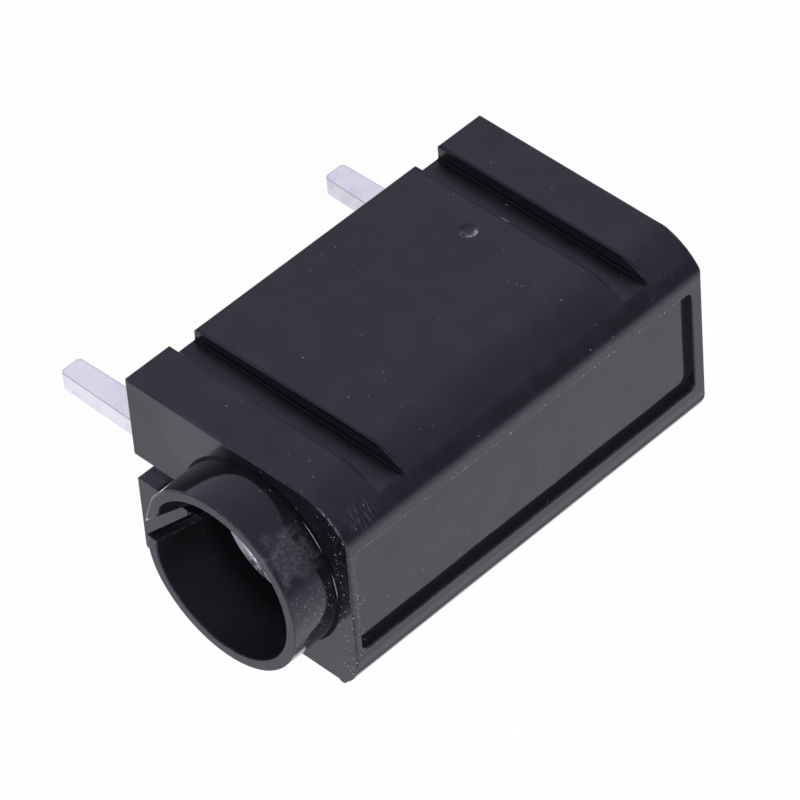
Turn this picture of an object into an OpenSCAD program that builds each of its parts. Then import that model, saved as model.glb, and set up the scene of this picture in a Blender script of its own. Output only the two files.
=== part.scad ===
// Right-angle banana socket for a circuit board.
// Millimetres. The board lies in the plane z = 0, the plug enters along +Y,
// and the origin is the centre of the front leg where it passes the board.

/* [Legs] */
// Distance of the front leg's centre behind the front face
leg_front = 2.2; // [1.8:0.1:4]
// Distance between the centres of the two legs
leg_pitch = 16.8; // [14:0.1:24]
// Distance of the rear leg's centre from the back face
leg_back = 3.4; // [3.1:0.1:6]
// Width of a leg where it passes the board
leg_w = 1.45; // [1.3:0.05:1.7]
// Width of a leg at its tip
leg_tip_w = 1.2; // [0.9:0.05:1.3]
// Length of a leg below the board
leg_len = 6.4; // [3:0.1:9]
// Chamfer on the corners of a leg's tip
leg_tip_c = 0.14; // [0.05:0.01:0.3]

/* [Body] */
// Width of the body across its two sides
body_w = 10.65; // [10.5:0.05:14]
// Height of the body above the board
body_h = 13.4; // [13:0.1:17]
// Radius of the long top edge on the grooved side
grooved_edge_r = 3.3; // [3.2:0.1:4]
// Height of that edge, from where its arc leaves the grooved side up to the top
grooved_edge_h = 2.8; // [2:0.1:2.9]
// Radius of the long top edge on the plain side
plain_edge_r = 2.2; // [2.1:0.1:4]
// Width of that edge, from where its arc leaves the top out to the plain side
plain_edge_w = 1.9; // [1:0.1:2]
// Radius where the arc of a long top edge ends at an angle
lip_r = 0.85; // [0.3:0.05:1.1]
// Set-back of the plain side at the board, running out below its rounded edge
plain_relief = 0.2; // [0.05:0.01:0.3]
// Radius of the plain side's edge at the board
plain_foot_r = 0.25; // [0.1:0.05:0.5]
// Radius on the other edges of the body
edge_r = 0.1; // [0.06:0.01:0.14]

/* [Side grooves] */
// Length of the land before the front groove and behind the rear one
end_land = 2.75; // [1.5:0.05:5]
// Width of a groove
groove_w = 1.5; // [1.2:0.1:2.4]
// Depth of a groove
groove_d = 0.78; // [0.6:0.02:0.9]
// Radius between a groove's floor and its walls
groove_r = 0.08; // [0.05:0.01:0.2]
// Set-back of the long land between the grooves at the board, running out at the rounded edge
land_relief = 0.17; // [0.05:0.01:0.25]

/* [Sunk panel] */
// Frame beside the panel, from the body's side
panel_side = 2.375; // [2.2:0.025:3.5]
// Frame in front of the panel
panel_front = 0.4; // [0.3:0.05:3]
// Frame behind the panel
panel_back = 0.65; // [0.4:0.05:3]
// Depth of the panel below the frame
panel_d = 0.38; // [0.2:0.02:0.7]
// Radius of the panel's corners
panel_r = 0.35; // [0.2:0.05:1]
// Radius on the panel's upper edge
panel_edge_r = 0.08; // [0.04:0.01:0.12]

/* [Shroud] */
// Height of the plug's axis above the board
axis_h = 7.85; // [6.5:0.05:8]
// Diameter of the bore for the plug's insulating sleeve
shroud_d = 8.2; // [7.6:0.1:8.3]
// Wall of the tube that stands in front of the body
tube_wall = 0.55; // [0.4:0.05:0.65]
// Length of the tube in front of the body
tube_out = 2.6; // [1.5:0.05:3]
// Radius on the outer edge of the tube's rim
rim_r = 0.08; // [0.05:0.01:0.2]
// Radius on the inner edge of the tube's rim
mouth_r = 0.06; // [0.04:0.01:0.12]
// Radius between the tube and the front face
tube_base_r = 0.1; // [0.05:0.01:0.15]
// Outer radius of the tube's two lips beside the slot, which bend inwards
tube_lip_r = 2.8; // [2.4:0.1:4]
// Gap on each side of a leg between the lips
tube_lip_gap = 0.1; // [0.05:0.025:0.3]

/* [Contact] */
// Diameter of the sleeve's bore for the plug's pin
pin_d = 4; // [3.9:0.05:4.2]
// Thickness of the strip that the contact is made of
strip_t = 0.95; // [0.6:0.05:1.1]
// Distance of the sleeve's front end behind the tube's rim
contact_inset = 3.2; // [3.1:0.05:4]
// Gap between the rolled edges along the sleeve's seam
seam_w = 0.2; // [0.1:0.05:0.4]
// Chamfer at the mouth of the sleeve
lead_in = 0.35; // [0.1:0.05:0.5]
// Radius on the outside of the sleeve's front end
sleeve_edge_r = 0.15; // [0.05:0.05:0.2]

/* [Seat] */
// Thickness of the wall behind the contact
back_wall = 2.1; // [1:0.1:2.2]
// Length of the bore that holds the contact's rear end
seat_l = 4.5; // [2:0.1:8]
// Gap all round between the contact and its seat
seat_gap = 0.05; // [0.02:0.01:0.15]
// Gap between the contact's rear end and the back wall
end_gap = 0.1; // [0.05:0.05:0.2]
// Gap on each side of a leg in the slot
slot_gap = 0.3; // [0.1:0.025:0.5]
// Gap behind the rear leg at the end of the slot
slot_end_gap = 0.2; // [0.1:0.05:0.4]

/* [Hidden] */
$fn = 96;
// Overshoot of a cut past the surface that it opens
over = 1;
// Directions in X and Z from the plug's axis, on the grooved side, in which the tube's lip begins
// and the fillet at the tube's base ends
lip_way = [-0.6, -0.8];
base_way = [-0.8, -0.6];
// Positions along Y
front_y = -leg_front;
back_y = leg_pitch + leg_back;
rim_y = front_y - tube_out;
contact_front_y = rim_y + contact_inset;
contact_rear_y = back_y - back_wall - end_gap;
seat_rear_y = back_y - back_wall;
seat_front_y = seat_rear_y - seat_l;
slot_rear_y = leg_pitch + leg_w / 2 + slot_end_gap;
front_groove_y = front_y + end_land;
rear_groove_y = back_y - end_land - groove_w;
// Positions across X: the grooved side is at -X
grooved_x = -body_w / 2;
plain_x = body_w / 2;
tube_r = shroud_d / 2 + tube_wall;
sleeve_r = pin_d / 2 + strip_t;
slot_w = strip_t + 2 * slot_gap;

// What a rounding takes off a square corner that sits at the origin and opens towards +X +Y
module corner(r) {
    if (r > 0) difference() {
        square(r);
        translate([r, r]) circle(r);
    }
}

// What an arc takes off such a corner: it leaves the X axis smoothly at run from the corner,
// and where it meets the Y axis at an angle, a lip softens it
module swept_corner(r, run) {
    lip = [lip_r, r - sqrt(pow(r - lip_r, 2) - pow(run - lip_r, 2))];
    touch = [run, r] + r / (r - lip_r) * (lip - [run, r]);
    difference() {
        square([run, lip.y]);
        translate([run, r]) circle(r);
    }
    difference() {
        polygon([[0, touch.y], touch, lip, [0, lip.y]]);
        translate(lip) circle(lip_r);
    }
}

// Rectangle from p to q with one radius for each corner: lower left, lower right, upper right, upper left
module rounded_rect(p, q, r) {
    difference() {
        translate(p) square(q - p);
        translate(p) corner(r[0]);
        translate([q.x, p.y]) mirror([1, 0]) corner(r[1]);
        translate(q) rotate(180) corner(r[2]);
        translate([p.x, q.y]) mirror([0, 1]) corner(r[3]);
    }
}

// Extrudes a drawing in X and Z along Y, from y0 to y1
module along_y(y0, y1) {
    translate([0, y1, 0]) rotate([90, 0, 0]) linear_extrude(y1 - y0) children();
}

// Extrudes a drawing in Y and Z along X, from x0 to x1
module along_x(x0, x1) {
    translate([x0, 0, 0]) rotate([90, 0, 90]) linear_extrude(x1 - x0) children();
}

// Turns a drawing in radius and Y about the plug's axis
module about_axis() {
    translate([0, 0, axis_h]) rotate([-90, 0, 0]) rotate_extrude() children();
}

// Cross-section of the body in X and Z: the grooved side's edge at the board is cut afterwards
module body_section() {
    foot_x = plain_x - plain_relief;
    difference() {
        translate([grooved_x, 0]) square([body_w, body_h]);
        polygon([[plain_x, 0], [foot_x, 0], [foot_x, plain_foot_r], [plain_x, body_h - plain_edge_r]]);
        translate([foot_x, 0]) mirror([1, 0]) corner(plain_foot_r);
        translate([grooved_x, body_h]) rotate(-90) swept_corner(grooved_edge_r, grooved_edge_h);
        translate([plain_x, body_h]) rotate(180) swept_corner(plain_edge_r, plain_edge_w);
    }
}

// What the grooved side loses: its rounded edge at the board and, between the grooves, a thin wedge
module grooved_side_cut() {
    front_mid_y = front_groove_y + groove_w / 2;
    rear_mid_y = rear_groove_y + groove_w / 2;
    relief_x = grooved_x + land_relief;
    along_y(front_y - over, front_mid_y) translate([grooved_x, 0]) corner(edge_r);
    along_y(front_mid_y, rear_mid_y) {
        polygon([[grooved_x, 0], [relief_x, 0], [relief_x, edge_r], [grooved_x, body_h - grooved_edge_h]]);
        translate([relief_x, 0]) corner(edge_r);
    }
    along_y(rear_mid_y, back_y + over) translate([grooved_x, 0]) corner(edge_r);
}

// Outline of a groove in X and Y: lips rounded outwards, floor rounded inwards
module groove_outline(y) {
    rounded_rect([grooved_x - over, y], [grooved_x + groove_d, y + groove_w], [0, groove_r, groove_r, 0]);
    translate([grooved_x, y]) mirror([0, 1]) corner(edge_r);
    translate([grooved_x, y + groove_w]) corner(edge_r);
}

// Outline of the body seen from above, with both grooves
module body_plan() {
    difference() {
        rounded_rect([grooved_x, front_y], [plain_x, back_y], [edge_r, edge_r, edge_r, edge_r]);
        groove_outline(front_groove_y);
        groove_outline(rear_groove_y);
    }
}

// Outline of the body seen from its side
module body_side() {
    rounded_rect([front_y, 0], [back_y, body_h], [edge_r, edge_r, edge_r, edge_r]);
}

// Half section of the tube in radius and Y, before its bore: rim rounded on the outside
module tube_profile() {
    rounded_rect([0, rim_y], [tube_r, front_y + edge_r], [0, rim_r, 0, 0]);
}

// Sector beside the slot in X and Z, on the grooved side, from a direction to the slot's middle
module lip_sector(way) {
    reach = 2 * tube_r;
    translate([0, axis_h]) polygon([[0, 0], reach * way, [0, -reach]]);
}

// The same sector on both sides, in front of the body
module lip_sectors(way) {
    for (side = [0, 1]) mirror([side, 0, 0]) along_y(rim_y - over, front_y) lip_sector(way);
}

// Fillet between the tube and the front face, which ends a little before the lips
module tube_base() {
    difference() {
        about_axis() translate([tube_r, front_y]) mirror([0, 1]) corner(tube_base_r);
        lip_sectors(base_way);
    }
}

// The tube's lip on the grooved side: its wall goes on about a nearer centre, so it bends inwards
module tube_lip() {
    set_off = (tube_r - tube_lip_r) * lip_way;
    intersection() {
        translate([set_off.x, 0, set_off.y]) about_axis()
            rounded_rect([tube_lip_r - tube_wall, rim_y], [tube_lip_r, front_y], [mouth_r, rim_r, 0, 0]);
        along_y(rim_y - over, front_y + over) lip_sector(lip_way);
    }
}

// Half section of the stepped bore in radius and Y: mouth rounded, then the shroud, then the seat
module bore_profile() {
    translate([0, rim_y - over]) square([shroud_d / 2, seat_front_y - rim_y + over]);
    translate([shroud_d / 2, rim_y]) corner(mouth_r);
    translate([0, seat_front_y - over]) square([sleeve_r + seat_gap, seat_l + over]);
}

// Sunk panel in the top face, with its upper edge rounded outwards along the sides and round the corners
module panel_cut() {
    p = [grooved_x + panel_side, front_y + panel_front];
    q = [plain_x - panel_side, back_y - panel_back];
    inset = [panel_r, panel_r];
    p_mid = p + inset;
    q_mid = q - inset;
    translate([0, 0, body_h - panel_d]) linear_extrude(panel_d + over)
        rounded_rect(p, q, [panel_r, panel_r, panel_r, panel_r]);
    along_y(p_mid.y, q_mid.y) panel_edge(p.x, q.x);
    along_x(p_mid.x, q_mid.x) panel_edge(p.y, q.y);
    for (c = [[p_mid, 180], [[q_mid.x, p_mid.y], 270], [q_mid, 0], [[p_mid.x, q_mid.y], 90]])
        translate(c[0]) rotate(c[1]) rotate_extrude(angle = 90)
            translate([panel_r, body_h]) rotate(-90) corner(panel_edge_r);
}

// What the panel's upper edge loses on two sides that face each other, at a and b
module panel_edge(a, b) {
    translate([a, body_h]) rotate(180) corner(panel_edge_r);
    translate([b, body_h]) rotate(-90) corner(panel_edge_r);
}

// Slot that lets the legs slide in from the front, between the lips and then through the body:
// its mouth at the board is rounded outwards
module slot_cut() {
    lip_slot_w = strip_t + 2 * tube_lip_gap;
    along_y(rim_y - over, front_y + over) translate([-lip_slot_w / 2, 0]) square([lip_slot_w, axis_h]);
    along_y(front_y, slot_rear_y) {
        translate([-slot_w / 2, -over]) square([slot_w, axis_h + over]);
        translate([slot_w / 2, 0]) corner(edge_r);
        translate([-slot_w / 2, 0]) mirror([1, 0]) corner(edge_r);
    }
}

// Leg in Y and Z: straight in the slot, narrowing below the board, with its tip chamfered
module leg_outline() {
    top_z = axis_h - pin_d / 2 - strip_t / 4;
    half = leg_w / 2;
    tip = leg_tip_w / 2;
    polygon([
        [-half, top_z], [-half, 0], [-tip, leg_tip_c - leg_len], [leg_tip_c - tip, -leg_len],
        [tip - leg_tip_c, -leg_len], [tip, leg_tip_c - leg_len], [half, 0], [half, top_z]
    ]);
}

// Half section of the rolled sleeve in radius and Y, with its lead-in
module sleeve_profile() {
    r = pin_d / 2;
    difference() {
        rounded_rect([r, contact_front_y], [sleeve_r, contact_rear_y], [0, sleeve_edge_r, sleeve_edge_r, 0]);
        polygon([[r, contact_front_y], [r + lead_in, contact_front_y], [r, contact_front_y + lead_in]]);
    }
}

module housing() {
    color([0.09, 0.09, 0.1]) difference() {
        union() {
            difference() {
                union() {
                    intersection() {
                        along_y(front_y, back_y) body_section();
                        linear_extrude(body_h) body_plan();
                        along_x(grooved_x, plain_x) body_side();
                    }
                    about_axis() tube_profile();
                }
                about_axis() bore_profile();
                lip_sectors(lip_way);
            }
            for (side = [0, 1]) mirror([side, 0, 0]) tube_lip();
            tube_base();
        }
        grooved_side_cut();
        slot_cut();
        panel_cut();
    }
}

module contact() {
    color([0.83, 0.82, 0.84]) difference() {
        union() {
            about_axis() sleeve_profile();
            for (y = [0, leg_pitch]) translate([0, y, 0])
                along_x(-strip_t / 2, strip_t / 2) leg_outline();
        }
        translate([strip_t / 2, contact_front_y - over, axis_h - sleeve_r - over])
            cube([seam_w, contact_rear_y - contact_front_y + 2 * over, sleeve_r + over]);
    }
}

housing();
contact();
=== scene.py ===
"""Looks of a right-angle banana socket for a circuit board.

Metres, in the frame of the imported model: the board lies in the plane z = 0, the plug enters along +Y
and the grooved side of the housing faces -X. Patterns in the materials are in millimetres.
"""
import math

import bmesh
import bpy
from mathutils import Matrix, Quaternion, Vector


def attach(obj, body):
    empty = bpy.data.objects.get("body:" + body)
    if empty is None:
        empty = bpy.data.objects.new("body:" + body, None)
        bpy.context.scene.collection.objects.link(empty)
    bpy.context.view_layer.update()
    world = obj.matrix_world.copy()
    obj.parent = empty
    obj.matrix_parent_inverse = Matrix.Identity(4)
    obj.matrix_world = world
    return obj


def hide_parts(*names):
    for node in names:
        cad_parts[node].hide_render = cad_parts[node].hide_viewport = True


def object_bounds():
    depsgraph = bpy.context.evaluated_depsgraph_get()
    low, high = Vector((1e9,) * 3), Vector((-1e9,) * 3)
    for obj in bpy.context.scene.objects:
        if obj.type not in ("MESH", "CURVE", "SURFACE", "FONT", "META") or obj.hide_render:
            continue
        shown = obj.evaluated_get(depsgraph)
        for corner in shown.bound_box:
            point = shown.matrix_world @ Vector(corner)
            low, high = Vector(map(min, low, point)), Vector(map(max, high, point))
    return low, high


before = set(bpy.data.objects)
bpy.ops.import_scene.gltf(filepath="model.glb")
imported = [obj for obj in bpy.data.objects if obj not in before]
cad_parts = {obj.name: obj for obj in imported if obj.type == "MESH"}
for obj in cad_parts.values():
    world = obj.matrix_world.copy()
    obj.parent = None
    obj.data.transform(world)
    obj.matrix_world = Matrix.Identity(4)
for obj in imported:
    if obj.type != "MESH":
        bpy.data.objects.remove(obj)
cad_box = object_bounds()

MM = 0.001

# Camera: where it stands, what it looks at, its roll and its lens
CAMERA_PLACE = Vector((-190.225, -122.767, 149.351)) * MM
CAMERA_AIM = Vector((0.047, 8.349, 6.013)) * MM
CAMERA_ROLL = math.radians(122.482)
CAMERA_LENS = 276.4
SENSOR_WIDTH = 36.0

# Key lamp: a disk, in metres and watts
KEY_AIM = Vector((0, 8, 6)) * MM
KEY_WAY = Vector((-0.72, -0.62, 0.3))
KEY_DISTANCE = 0.35
KEY_SIZE = 0.45
KEY_POWER = 0.36

# World: its strength for rays that are neither the camera's nor mirrored, two directions in which the
# mirrored backdrop is dimmer, and the one straight behind the part, in which it is not
PLAIN_LEVEL = 0.8
GAP_WAY = (-0.22, 0.48, 0.85)
CARD_WAY = (0.8, 0.45, -0.4)
BEHIND_WAY = (0.7, 0.48, -0.53)

# Floor: half its side in metres, and the share of it that the camera sees as plain white
FLOOR_HALF = 2.0
FLOOR_GLOW = 0.97

# Marks, spots of painted light and places on the housing, in millimetres
AXIS_HEIGHT = 7.85
GROOVES_MIDDLE = 9.0
GROOVES_HALF_PITCH = 7.7
PANEL_MIDDLE = 8.875
TUBE_SCUFF = (-3.0, -3.7, 11.4)
PAINTED_BASE_GLINTS = ((-3.07, -2.2, 11.33), (-0.77, -2.2, 12.48))
FRONT_EDGE_SCUFF = (-4.47, -0.75, 12.84)
FRONT_CORNER = (-4.0, -2.2, 12.7)
FRONT_SHEEN = (-3.8, -2.2, 4.2)
REAR_EDGE_SCUFF = (-4.6, 18.5, 12.8)
DENT = (-5.23, 14.36, 4.85)
CHIP = (-5.23, 14.35, 5.25)
GROOVE_CHIP = (-5.2, 15.95, 5.6)
LIP_CENTRE = (-1.11, -4.8, 6.37)
PAINTED_RIM_HIGHLIGHT = (-1.6, -4.8, 3.75)
SLOT_WEAR = (0.1, -4.2, 3.5)

# Limits of zones of the housing, in millimetres: each pair goes from just outside a zone to inside it
BORE_MOUTH = (-4.79, -4.74)
BORE_BOTTOM = (18.5, 18.3)
BORE_SIDE = (4.15, 4.12)
COLLAR_OUTSIDE = (4.79, 4.76)
COLLAR_INSIDE = (4.62, 4.64)
COLLAR_FRONT = (-2.33, -2.3)
COLLAR_BACK = (-2.1, -2.15)
GLINT_RADIUS = 4.69
GLINT_SIDE = (0.02, 0.01)
GROOVE_SIDE = (0.85, 0.78)
GROOVE_MOUTH = (-5.25, -5.15)
GROOVE_FLOOR = (-4.5, -4.53)
GROOVE_WALL = (0.66, 0.72)
GROOVE_AWAY = (0.85, 0.95)
LIT_BRINK_DEPTH = (-4.95, -5.2)
CREASE_SIDE = (0.54, 0.62)
CREASE_DEPTH = (-4.8, -4.72)
FLOOR_SHADE_SIDE = (-0.75, 0.3)
FLOOR_SHADE_DEPTH = (-4.75, -4.65)
BRIM_INSIDE = (0.72, 0.76)
BRIM_OUTSIDE = (0.94, 0.86)
BRIM_DEPTH = (-4.9, -5.1)
PANEL_SIDE = (3.15, 3.05)
PANEL_END = (10.9, 10.8)
PANEL_FOOT = (12.9, 12.98)
FAR_SIDE_WALL = (2.4, 2.5)
FAR_END_WALL = (19.1, 19.2)
FAR_WALL_TOP = (13.38, 13.3)
LEDGE_SIDE = (-2.4, -2.8)
LEDGE_END = (-0.9, -1.5)
PANEL_FLOOR = (13.06, 13.03)
PANEL_BRINK = (13.33, 13.38)
PANEL_EDGE_FOOT = (13.25, 13.33)
PANEL_EDGE_SIDE = (2.6, 1.0)
PANEL_EDGE_END = (19.3, 18.5)
EDGE_RUB_FOOT = (12.35, 12.65)
BAND_FOOT = (12.0, 12.9)
FRONT_SKIN = (-2.0, -2.15)

# The contact's front end, and the middle of the tarnish on it, in millimetres
CONTACT_FRONT = (-1.3, -1.5)
TARNISH = (2.45, -1.6, 7.0)

# The tube's two lips: where they begin beside the slot, how deep they bend, and how far their ends have
# crept round the axis at the rim: the grooved side's lip more on its inside, the plain side's evenly.
# Both have bent back outwards too: the plain side's by a share, the grooved side's all but a step
FRONT_FACE = -2.2
TUBE_LENGTH = 2.6
TUBE_RADIUS = 4.65
TUBE_WALL = 0.55
LIP_BEGIN = math.radians(36.87)
LIP_BEND = 0.63
LIP_STEP = 0.13
LIP_STEP_RISE = 2.5
GROOVED_LIP_TURN = math.radians(1.9)
GROOVED_LIP_TAPER = math.radians(15.0)
PLAIN_LIP_TURN = math.radians(8.1)
PLAIN_LIP_RELIEF = 0.5
WELD = 0.00001 * MM

# Bead of moulding flash
BEAD_PLACE = Vector((5.27, -2.08, 12.2)) * MM
BEAD_RADIUS = 0.16 * MM
BEAD_STRETCH = (0.9, 0.8, 1.6)
BEAD_TILT = math.radians(25)

# Shares of a dust grain's and a patch's radius inside which it is at its full strength
SPECK_CORE = 0.4
PATCH_CORE = 0.3


def feed(tree, socket, value):
    """Links a socket to another node's output, or sets its value."""
    if isinstance(value, bpy.types.NodeSocket):
        tree.links.new(value, socket)
    else:
        socket.default_value = value


def add_node(tree, kind, **inputs):
    """Adds a shader node, with values or links for its inputs by name."""
    node = tree.nodes.new(kind)
    for name, value in inputs.items():
        feed(tree, node.inputs[name.replace("_", " ")], value)
    return node


def calculate(tree, operation, first, second=0.0):
    node = tree.nodes.new("ShaderNodeMath")
    node.operation = operation
    feed(tree, node.inputs[0], first)
    feed(tree, node.inputs[1], second)
    return node.outputs[0]


def combine(tree, operation, first, second, output="Vector"):
    node = tree.nodes.new("ShaderNodeVectorMath")
    node.operation = operation
    feed(tree, node.inputs[0], first)
    feed(tree, node.inputs[1], second)
    return node.outputs[output]


def ramp(tree, value, low, high, to_low=0.0, to_high=1.0):
    """Smooth step of a value between two limits."""
    node = tree.nodes.new("ShaderNodeMapRange")
    node.interpolation_type = "SMOOTHSTEP"
    for socket, given in zip(node.inputs, (value, low, high, to_low, to_high)):
        feed(tree, socket, given)
    return node.outputs[0]


def blend_colour(tree, share, first, second):
    node = tree.nodes.new("ShaderNodeMix")
    node.data_type = "RGBA"
    feed(tree, node.inputs[0], share)
    feed(tree, node.inputs[6], first)
    feed(tree, node.inputs[7], second)
    return node.outputs[2]


def blend_value(tree, share, first, second):
    node = tree.nodes.new("ShaderNodeMix")
    feed(tree, node.inputs[0], share)
    feed(tree, node.inputs[2], first)
    feed(tree, node.inputs[3], second)
    return node.outputs[0]


def clouds(tree, place, scale, detail=2.0, stretch=(1, 1, 1)):
    """Soft noise; stretch slows it down along an axis."""
    shrunk = combine(tree, "DIVIDE", place, stretch)
    noise = add_node(tree, "ShaderNodeTexNoise", Vector=shrunk, Scale=scale, Detail=detail)
    return noise.outputs[0]


def specks(tree, place, scale, radius):
    """Grains of dust: small dots where the surface passes close to scattered points."""
    cells = add_node(tree, "ShaderNodeTexVoronoi", Vector=place, Scale=scale)
    return ramp(tree, cells.outputs["Distance"], radius * scale, SPECK_CORE * radius * scale)


def patch(tree, place, centre, radius):
    """One near a point of the surface, running out at the radius."""
    return ramp(tree, combine(tree, "DISTANCE", place, centre, "Value"), radius, PATCH_CORE * radius)


def edges(tree, reach):
    """One on the outer edges of a piece, zero on its faces and in its inner corners."""
    inside = tree.nodes.new("ShaderNodeAmbientOcclusion")
    inside.samples = 8
    inside.inside = True
    inside.only_local = True
    inside.inputs["Distance"].default_value = reach
    return ramp(tree, inside.outputs["AO"], 0.95, 0.6)


def either(tree, first, second):
    return calculate(tree, "MAXIMUM", first, second)


def both(tree, first, second):
    return calculate(tree, "MULTIPLY", first, second)


def without(tree, mask):
    return calculate(tree, "SUBTRACT", 1.0, mask)


def new_material(name):
    """A material with an empty node tree, its output, and the place on the piece in millimetres."""
    material = bpy.data.materials.new(name)
    material.use_nodes = True
    tree = material.node_tree
    tree.nodes.clear()
    output = tree.nodes.new("ShaderNodeOutputMaterial")
    place = tree.nodes.new("ShaderNodeTexCoord")
    scaled = tree.nodes.new("ShaderNodeVectorMath")
    scaled.operation = "SCALE"
    feed(tree, scaled.inputs[0], place.outputs["Object"])
    scaled.inputs["Scale"].default_value = 1 / MM
    return material, tree, output, scaled.outputs[0]


def black_plastic():
    """Glossy black moulding: slightly wavy, dusty, with scuffed edges, painted shade in its inner corners,
    painted highlights and sheen, and a dull bore.
    """
    material, tree, output, place = new_material("black_plastic")
    split = add_node(tree, "ShaderNodeSeparateXYZ", Vector=place)
    x, y, z = split.outputs

    # Inside of the bore, and the inner corner round the tube's base, by the distance from the plug's axis
    from_axis = combine(tree, "MULTIPLY", combine(tree, "SUBTRACT", place, (0, 0, AXIS_HEIGHT)), (1, 0, 1))
    radius = combine(tree, "LENGTH", from_axis, (0, 0, 0), "Value")
    in_length = both(tree, ramp(tree, y, *BORE_MOUTH), ramp(tree, y, *BORE_BOTTOM))
    bore = both(tree, ramp(tree, radius, *BORE_SIDE), in_length)
    collar = both(tree, ramp(tree, radius, *COLLAR_OUTSIDE), ramp(tree, radius, *COLLAR_INSIDE))
    collar = both(tree, collar, both(tree, ramp(tree, y, *COLLAR_FRONT), ramp(tree, y, *COLLAR_BACK)))
    # Painted highlights: two short arcs along the corner round the tube's base, painted pale
    painted_glints = either(tree, patch(tree, place, PAINTED_BASE_GLINTS[0], 0.9), patch(tree, place, PAINTED_BASE_GLINTS[1], 0.8))
    from_corner = calculate(tree, "ABSOLUTE", calculate(tree, "SUBTRACT", radius, GLINT_RADIUS))
    painted_glints = both(tree, both(tree, painted_glints, collar), ramp(tree, from_corner, *GLINT_SIDE))

    # Inside of the two side grooves, by the distance from their middles along Y, and their brims
    from_halfway = calculate(tree, "SUBTRACT", y, GROOVES_MIDDLE)
    to_nearest = both(tree, calculate(tree, "SIGN", from_halfway), GROOVES_HALF_PITCH)
    rearward = calculate(tree, "SUBTRACT", from_halfway, to_nearest)
    from_groove = calculate(tree, "ABSOLUTE", rearward)
    in_depth = both(tree, ramp(tree, x, *GROOVE_MOUTH), ramp(tree, x, *GROOVE_FLOOR))
    grooves = both(tree, ramp(tree, from_groove, *GROOVE_SIDE), in_depth)
    walls = both(tree, ramp(tree, from_groove, *GROOVE_WALL), grooves)
    # Painted highlight: the outer rims of the groove walls, near the grooves' mouths, are painted lighter
    painted_lit_brinks = both(tree, walls, ramp(tree, x, *LIT_BRINK_DEPTH))
    # Painted shade in the grooves: dark along the crease at each groove's rear wall, and fading in across its
    # floor towards that wall
    groove_shade = both(tree, ramp(tree, rearward, *CREASE_SIDE), ramp(tree, x, *CREASE_DEPTH))
    painted_floor_shade = both(tree, ramp(tree, rearward, *FLOOR_SHADE_SIDE), ramp(tree, x, *FLOOR_SHADE_DEPTH))
    groove_shade = either(tree, both(tree, groove_shade, 0.72), both(tree, painted_floor_shade, 0.2))
    groove_shade = both(tree, groove_shade, grooves)
    # Painted shade on the grooves' brims near their mouths, which dims the highlight on their rounded edges
    brim_shade = both(tree, ramp(tree, from_groove, *BRIM_INSIDE), ramp(tree, from_groove, *BRIM_OUTSIDE))
    brim_shade = both(tree, brim_shade, both(tree, ramp(tree, x, *BRIM_DEPTH), 0.4))
    away = ramp(tree, from_groove, *GROOVE_AWAY)

    # The sunk panel, its two far walls, and the places along its near sides where dust lies
    from_middle = calculate(tree, "ABSOLUTE", calculate(tree, "SUBTRACT", y, PANEL_MIDDLE))
    panel = both(tree, ramp(tree, calculate(tree, "ABSOLUTE", x), *PANEL_SIDE),
                 ramp(tree, from_middle, *PANEL_END))
    panel = both(tree, panel, ramp(tree, z, *PANEL_FOOT))
    far_walls = either(tree, ramp(tree, x, *FAR_SIDE_WALL), ramp(tree, y, *FAR_END_WALL))
    far_walls = both(tree, both(tree, panel, far_walls), ramp(tree, z, *FAR_WALL_TOP))
    ledge = both(tree, panel, either(tree, ramp(tree, x, *LEDGE_SIDE), ramp(tree, y, *LEDGE_END)))
    ledge = both(tree, ledge, either(tree, ramp(tree, z, *PANEL_FLOOR), ramp(tree, z, *PANEL_BRINK)))

    # Rubs: dense on the tube, strokes across the front end of the grooved edge, faint ones at its rear end
    from_rub = combine(tree, "DISTANCE", place, TUBE_SCUFF, "Value")
    ragged = calculate(tree, "ADD", from_rub, ramp(tree, clouds(tree, place, 1.8, 4.0), 0.3, 0.7, -0.4, 0.4))
    tube_rub = ramp(tree, ragged, 1.55, 0.6)
    grain = both(tree, ramp(tree, clouds(tree, place, 11.0, 4.0, (1, 2, 1)), 0.35, 0.65, 0.35, 1.0), tube_rub)
    edge_rub = either(tree, patch(tree, place, FRONT_EDGE_SCUFF, 1.25),
                      both(tree, patch(tree, place, REAR_EDGE_SCUFF, 1.0), 0.35))
    edge_rub = both(tree, edge_rub, ramp(tree, z, *EDGE_RUB_FOOT))
    strokes = both(tree, ramp(tree, clouds(tree, place, 9.0, 3.0, (4, 1, 4)), 0.48, 0.64), edge_rub)

    # Worn spots along the edges, a painted highlight on the rim's edge, a painted highlight with dust along
    # the panel's edge, a rubbed band on the front face below its top edge, and a painted sheen on the front
    # face
    chips = ramp(tree, clouds(tree, place, 4.5, 4.0), 0.44, 0.72, 0.1, 1.0)
    edge = edges(tree, 0.13 * MM)
    chipped_edge = both(tree, edge, chips)
    worn = both(tree, chipped_edge, away)
    corner_wear = both(tree, worn, patch(tree, place, FRONT_CORNER, 2.2))
    slot_wear = both(tree, chipped_edge, patch(tree, place, SLOT_WEAR, 1.5))
    lip_edge = both(tree, edge, ramp(tree, combine(tree, "DISTANCE", place, LIP_CENTRE, "Value"), 2.6, 2.72))
    # Painted highlight: the rim's outer edge on the grooved side is painted pale at full strength
    painted_rim_highlight = both(tree, both(tree, lip_edge, ramp(tree, x, -0.1, -0.6)), patch(tree, place, PAINTED_RIM_HIGHLIGHT, 2.6))
    lines = ramp(tree, clouds(tree, place, 3.0, 4.0), 0.36, 0.6, 0.25, 1.0)
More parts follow.
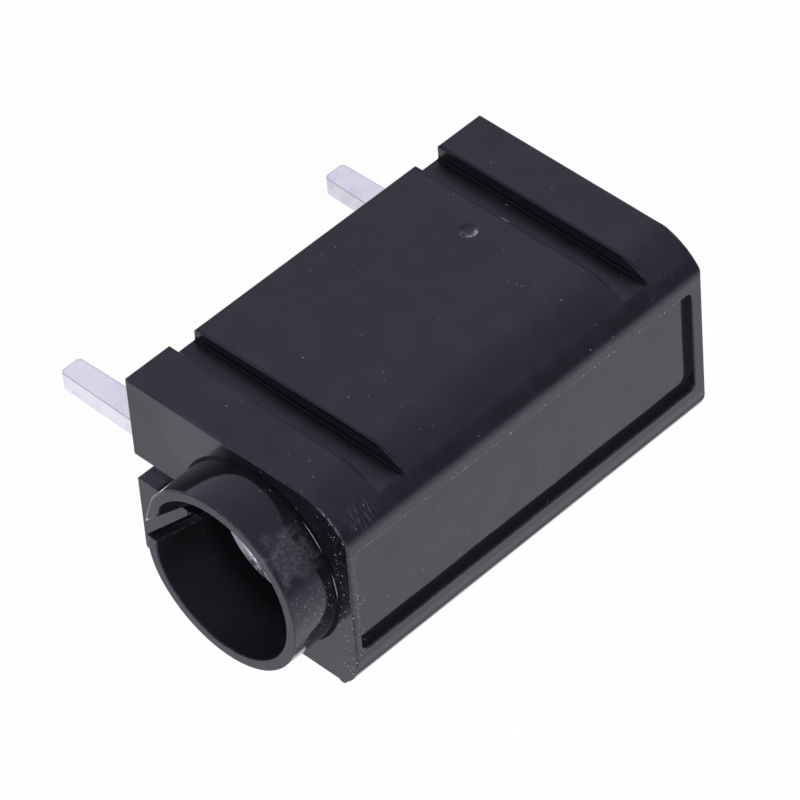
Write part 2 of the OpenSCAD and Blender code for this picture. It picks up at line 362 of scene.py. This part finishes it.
    # Painted highlight mixed with dust: a pale broken line along the panel's rounded edge, except at its +X
    # side and rear end
    panel_edge_dust_and_highlight = both(tree, both(tree, edge, lines), both(tree, panel, ramp(tree, z, *PANEL_EDGE_FOOT)))
    near_sides = both(tree, ramp(tree, x, *PANEL_EDGE_SIDE), ramp(tree, y, *PANEL_EDGE_END))
    panel_edge_dust_and_highlight = both(tree, panel_edge_dust_and_highlight, near_sides)
    on_front = ramp(tree, y, *FRONT_SKIN)
    band = both(tree, ramp(tree, z, *BAND_FOOT), on_front)
    rubbed = both(tree, band, ramp(tree, clouds(tree, place, 5.0, 5.0, (2, 1, 1)), 0.5, 0.7))
    # Painted sheen: a lighter patch painted on the front face, towards the grooved side and the board
    painted_front_sheen = both(tree, patch(tree, place, FRONT_SHEEN, 2.6), on_front)

    # Dust: scattered, in clusters, on the band and along the panel's near sides, but not in the bore
    clusters = ramp(tree, clouds(tree, place, 0.3, 1.0), 0.42, 0.62)
    dust = either(tree, both(tree, specks(tree, place, 0.85, 0.045), 0.45),
                  both(tree, specks(tree, place, 2.1, 0.028), both(tree, clusters, 0.6)))
    dust = either(tree, dust, both(tree, specks(tree, place, 4.4, 0.042), band))
    dust = either(tree, dust, both(tree, specks(tree, place, 7.0, 0.034), ledge))
    dust = both(tree, dust, without(tree, bore))

    # Dent in the grooved side, with a chip at its edge and another at the edge of a groove
    dent = patch(tree, place, DENT, 0.5)
    from_dent = combine(tree, "DISTANCE", place, DENT, "Value")
    dent_rim = both(tree, ramp(tree, from_dent, 0.24, 0.32), ramp(tree, from_dent, 0.5, 0.4))
    chip = both(tree, both(tree, patch(tree, place, CHIP, 0.5), dent_rim),
                ramp(tree, clouds(tree, place, 6.0), 0.4, 0.56, 0.3, 1.0))
    chip = either(tree, chip, both(tree, patch(tree, place, GROOVE_CHIP, 0.35), both(tree, edge, 0.35)))

    # All pale marks, each with its strength: dust, chips, wear and rubs, and the painted highlights on the
    # rim, along the panel's edge and at the tube's base
    marks_and_painted_highlights = dust
    strengths = ((chip, 0.6), (worn, 0.1), (painted_rim_highlight, 1.0), (corner_wear, 0.35), (slot_wear, 0.12),
                 (panel_edge_dust_and_highlight, 0.4), (grain, 0.09), (strokes, 0.045), (rubbed, 0.045), (painted_glints, 0.5))
    for mark, strength in strengths:
        marks_and_painted_highlights = either(tree, marks_and_painted_highlights, both(tree, mark, strength))

    # Colour, from the clean black to the pale marks, with painted highlights on the groove walls' outer rims
    # and a painted sheen on the front face
    film = ramp(tree, clouds(tree, place, 0.7, 4.0), 0.38, 0.68)
    film = both(tree, film, without(tree, bore))
    colour = blend_colour(tree, film, (0.0042, 0.0042, 0.0042, 1), (0.0085, 0.0085, 0.0095, 1))
    colour = blend_colour(tree, either(tree, far_walls, walls), colour, (0.0125, 0.0125, 0.0135, 1))
    # Painted highlight on the groove walls' outer rims
    colour = blend_colour(tree, painted_lit_brinks, colour, (0.02, 0.02, 0.023, 1))
    # Painted sheen on the front face
    colour = blend_colour(tree, painted_front_sheen, colour, (0.03, 0.03, 0.033, 1))
    # Pale marks: dust and wear, with the painted highlights among them
    colour = blend_colour(tree, marks_and_painted_highlights, colour, (0.7, 0.7, 0.73, 1))

    # Gloss, duller on rubs and marks; painted shade in the inner corners and on the grooves' brims takes it
    # away and darkens them, as a black metallic film
    rough = ramp(tree, clouds(tree, place, 0.5, 3.0), 0.3, 0.75, 0.07, 0.13)
    rough = blend_value(tree, either(tree, tube_rub, edge_rub), rough, 0.24)
    rough = blend_value(tree, grooves, rough, 0.22)
    rough = blend_value(tree, bore, rough, 0.5)
    rough = blend_value(tree, marks_and_painted_highlights, rough, 0.7)
    # Painted shade: the corner round the tube's base, the grooves and their brims are darkened by a black
    # metallic film
    painted_shade = either(tree, both(tree, collar, 0.8), either(tree, groove_shade, brim_shade))
    painted_shade = both(tree, painted_shade, without(tree, marks_and_painted_highlights))
    rough = blend_value(tree, calculate(tree, "SUBTRACT", painted_shade, brim_shade), rough, 0.9)

    # Relief: long waves with a little ripple, the dent, and the grooves of the rubs
    waves = clouds(tree, place, 0.25, 1.0)
    ripples = clouds(tree, place, 1.6, 2.0)
    height = calculate(tree, "ADD", both(tree, ripples, 0.07), waves)
    height = calculate(tree, "SUBTRACT", height, both(tree, dent, 2.2))
    height = calculate(tree, "SUBTRACT", height, both(tree, either(tree, grain, strokes), 0.1))
    bump = add_node(tree, "ShaderNodeBump", Strength=1.0, Distance=0.06 * MM, Height=height)

    shader = add_node(tree, "ShaderNodeBsdfPrincipled", Base_Color=colour, Roughness=rough, IOR=1.5,
                      Metallic=painted_shade, Specular_Tint=(0.82, 0.83, 1.0, 1), Normal=bump.outputs[0])
    tree.links.new(shader.outputs[0], output.inputs[0])
    return material


def tin_plating():
    """Satin tin over brass strip: pale, faintly streaked, with painted shade along its stamped edges,
    strongest on the -X side, and some tarnish.
    """
    material, tree, output, place = new_material("tin_plating")
    split = add_node(tree, "ShaderNodeSeparateXYZ", Vector=place)
    x, y, _ = split.outputs
    streaks = clouds(tree, place, 2.5, 3.0, (1, 1, 3))
    stains = ramp(tree, clouds(tree, place, 1.1, 3.0), 0.45, 0.75)
    colour = blend_colour(tree, stains, (0.99, 0.97, 1.0, 1), (0.9, 0.87, 0.94, 1))
    # Painted shade: the edges are painted darker, fully on the -X side and faintly on the +X side
    painted_edge_shade = both(tree, edges(tree, 0.07 * MM), ramp(tree, x, 0.2, -0.2, 0.15, 1.0))
    colour = blend_colour(tree, painted_edge_shade, colour, (0.5, 0.48, 0.54, 1))
    front_end = both(tree, ramp(tree, y, *CONTACT_FRONT), patch(tree, place, TARNISH, 1.5))
    tarnish = both(tree, front_end, ramp(tree, clouds(tree, place, 4.0, 4.0), 0.34, 0.58))
    colour = blend_colour(tree, tarnish, colour, (0.16, 0.16, 0.17, 1))
    rough = ramp(tree, streaks, 0.3, 0.7, 0.38, 0.52)
    bump = add_node(tree, "ShaderNodeBump", Strength=1.0, Distance=0.01 * MM, Height=streaks)
    shader = add_node(tree, "ShaderNodeBsdfPrincipled", Base_Color=colour, Metallic=0.5, Roughness=rough,
                      Normal=bump.outputs[0])
    tree.links.new(shader.outputs[0], output.inputs[0])
    return material


def dress(obj, material):
    obj.data.materials.clear()
    obj.data.materials.append(material)


def smooth(share):
    share = min(max(share, 0), 1)
    return share * share * (3 - 2 * share)


def creep(place):
    """A point of the housing after the tube's two lips have warped, most at the rim and beside the slot."""
    side, along, up = place / MM
    below = AXIS_HEIGHT - up
    forward = min((FRONT_FACE - along) / TUBE_LENGTH, 1)
    angle = math.atan2(side, below)
    nearness = 1 - abs(angle) / LIP_BEGIN
    if forward <= 0 or nearness <= 0:
        return place
    radius = math.hypot(side, below)
    bend = LIP_BEND * nearness * nearness
    inward = (TUBE_RADIUS - bend - radius) / TUBE_WALL
    turn = PLAIN_LIP_TURN
    relief = PLAIN_LIP_RELIEF * bend
    if side < 0:
        turn = GROOVED_LIP_TURN + GROOVED_LIP_TAPER * inward
        relief = bend - LIP_STEP * smooth(LIP_STEP_RISE * nearness)
    angle -= forward * smooth(nearness) * turn
    radius += forward * relief
    return Vector((radius * math.sin(angle), along, AXIS_HEIGHT - radius * math.cos(angle))) * MM


def add_crept_housing(node, material):
    """The housing as it stands in the photo: its mesh with crept lips and the same shading."""
    mesh = node.data.copy()
    mesh.name = "crept_housing"
    normals = [normal.vector.copy() for normal in mesh.corner_normals]
    shape = bmesh.new()
    shape.from_mesh(mesh)
    bmesh.ops.remove_doubles(shape, verts=shape.verts, dist=WELD)
    shape.to_mesh(mesh)
    shape.free()
    mesh.normals_split_custom_set(normals)
    for vertex in mesh.vertices:
        vertex.co = creep(vertex.co)
    housing = bpy.data.objects.new("crept_housing", mesh)
    bpy.context.collection.objects.link(housing)
    dress(housing, material)
    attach(housing, "root")
    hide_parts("housing")


def add_flash_bead(material):
    """Bead of moulding flash at the front end of the plain side's top edge."""
    shape = bmesh.new()
    bmesh.ops.create_icosphere(shape, subdivisions=3, radius=BEAD_RADIUS)
    bmesh.ops.scale(shape, vec=BEAD_STRETCH, verts=shape.verts)
    bmesh.ops.rotate(shape, matrix=Matrix.Rotation(BEAD_TILT, 3, "Y"), verts=shape.verts)
    bmesh.ops.translate(shape, vec=BEAD_PLACE, verts=shape.verts)
    mesh = bpy.data.meshes.new("flash_bead")
    shape.to_mesh(mesh)
    shape.free()
    mesh.shade_smooth()
    bead = bpy.data.objects.new("flash_bead", mesh)
    bpy.context.collection.objects.link(bead)
    dress(bead, material)
    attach(bead, "root")


def add_floor():
    """White floor at the leg tips: seen as white, with a faint shadow."""
    z = cad_box[0][2]
    mesh = bpy.data.meshes.new("floor")
    corners = [(-FLOOR_HALF, -FLOOR_HALF, z), (FLOOR_HALF, -FLOOR_HALF, z),
               (FLOOR_HALF, FLOOR_HALF, z), (-FLOOR_HALF, FLOOR_HALF, z)]
    mesh.from_pydata(corners, [], [(0, 1, 2, 3)])
    floor = bpy.data.objects.new("floor", mesh)
    bpy.context.collection.objects.link(floor)
    material, tree, output, _ = new_material("white_floor")
    paper = add_node(tree, "ShaderNodeBsdfDiffuse", Color=(0.9, 0.9, 0.9, 1))
    glow = add_node(tree, "ShaderNodeEmission", Color=(1, 1, 1, 1), Strength=1.0)
    path = tree.nodes.new("ShaderNodeLightPath")
    share = both(tree, path.outputs["Is Camera Ray"], FLOOR_GLOW)
    mix = tree.nodes.new("ShaderNodeMixShader")
    for socket, value in zip(mix.inputs, (share, paper.outputs[0], glow.outputs[0])):
        feed(tree, socket, value)
    tree.links.new(mix.outputs[0], output.inputs[0])
    dress(floor, material)
    floor.visible_glossy = False


def add_world():
    """Soft studio: white where the camera sees it, mirrored as a graded backdrop, otherwise plain."""
    world = bpy.data.worlds.new("studio")
    bpy.context.scene.world = world
    world.use_nodes = True
    tree = world.node_tree
    tree.nodes.clear()
    output = tree.nodes.new("ShaderNodeOutputWorld")
    direction = tree.nodes.new("ShaderNodeTexCoord").outputs["Generated"]
    split = add_node(tree, "ShaderNodeSeparateXYZ", Vector=direction)

    # Backdrop: bright at +X, dimmer at -X, above the grooved side's edge and in a ring behind the part
    dim_side = ramp(tree, split.outputs["Z"], -0.6, 0.6, 0.78, 0.6)
    bright_side = ramp(tree, split.outputs["Z"], -0.5, 0.4, 0.92, 1.12)
    level = blend_value(tree, ramp(tree, split.outputs["X"], -0.35, 0.52), dim_side, bright_side)
    gap = combine(tree, "DOT_PRODUCT", direction, GAP_WAY, "Value")
    level = both(tree, level, ramp(tree, gap, 0.9, 0.985, 1.0, 0.62))
    card = combine(tree, "DOT_PRODUCT", direction, CARD_WAY, "Value")
    behind = combine(tree, "DOT_PRODUCT", direction, BEHIND_WAY, "Value")
    shade = either(tree, ramp(tree, card, 0.65, 1.0, 1.0, 0.15), ramp(tree, behind, 0.86, 0.95))
    level = both(tree, level, shade)

    path = tree.nodes.new("ShaderNodeLightPath")
    mirrored = either(tree, path.outputs["Is Glossy Ray"], path.outputs["Is Transmission Ray"])
    level = blend_value(tree, mirrored, PLAIN_LEVEL, level)
    side = ramp(tree, split.outputs["X"], -0.3, 0.5)
    tint = blend_colour(tree, side, (0.9, 0.92, 1.08, 1), (0.98, 0.97, 1.03, 1))
    light = add_node(tree, "ShaderNodeBackground", Color=tint, Strength=level)
    white = add_node(tree, "ShaderNodeBackground", Color=(1, 1, 1, 1), Strength=1.0)
    mix = tree.nodes.new("ShaderNodeMixShader")
    for socket, value in zip(mix.inputs, (path.outputs["Is Camera Ray"], light.outputs[0], white.outputs[0])):
        feed(tree, socket, value)
    tree.links.new(mix.outputs[0], output.inputs[0])


def add_lamp(name, place, aim, size, power):
    data = bpy.data.lights.new(name, "AREA")
    data.shape = "DISK"
    data.size = size
    data.energy = power
    lamp = bpy.data.objects.new(name, data)
    lamp.location = place
    lamp.rotation_euler = (aim - place).to_track_quat("-Z", "Y").to_euler()
    bpy.context.collection.objects.link(lamp)


def add_camera():
    data = bpy.data.cameras.new("camera")
    data.sensor_width = SENSOR_WIDTH
    data.lens = CAMERA_LENS
    data.clip_start = 0.01
    data.clip_end = 10.0
    camera = bpy.data.objects.new("camera", data)
    bpy.context.collection.objects.link(camera)
    look = (CAMERA_AIM - CAMERA_PLACE).to_track_quat("-Z", "Y")
    camera.rotation_mode = "QUATERNION"
    camera.location = CAMERA_PLACE
    camera.rotation_quaternion = look @ Quaternion((0, 0, 1), CAMERA_ROLL)
    bpy.context.scene.camera = camera


plastic = black_plastic()
add_crept_housing(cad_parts["housing"], plastic)
dress(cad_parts["contact"], tin_plating())
add_flash_bead(plastic)
add_floor()
add_world()
add_lamp("key", KEY_AIM + KEY_WAY * KEY_DISTANCE, KEY_AIM, KEY_SIZE, KEY_POWER)
add_camera()

bpy.context.scene.view_settings.view_transform = "Standard"
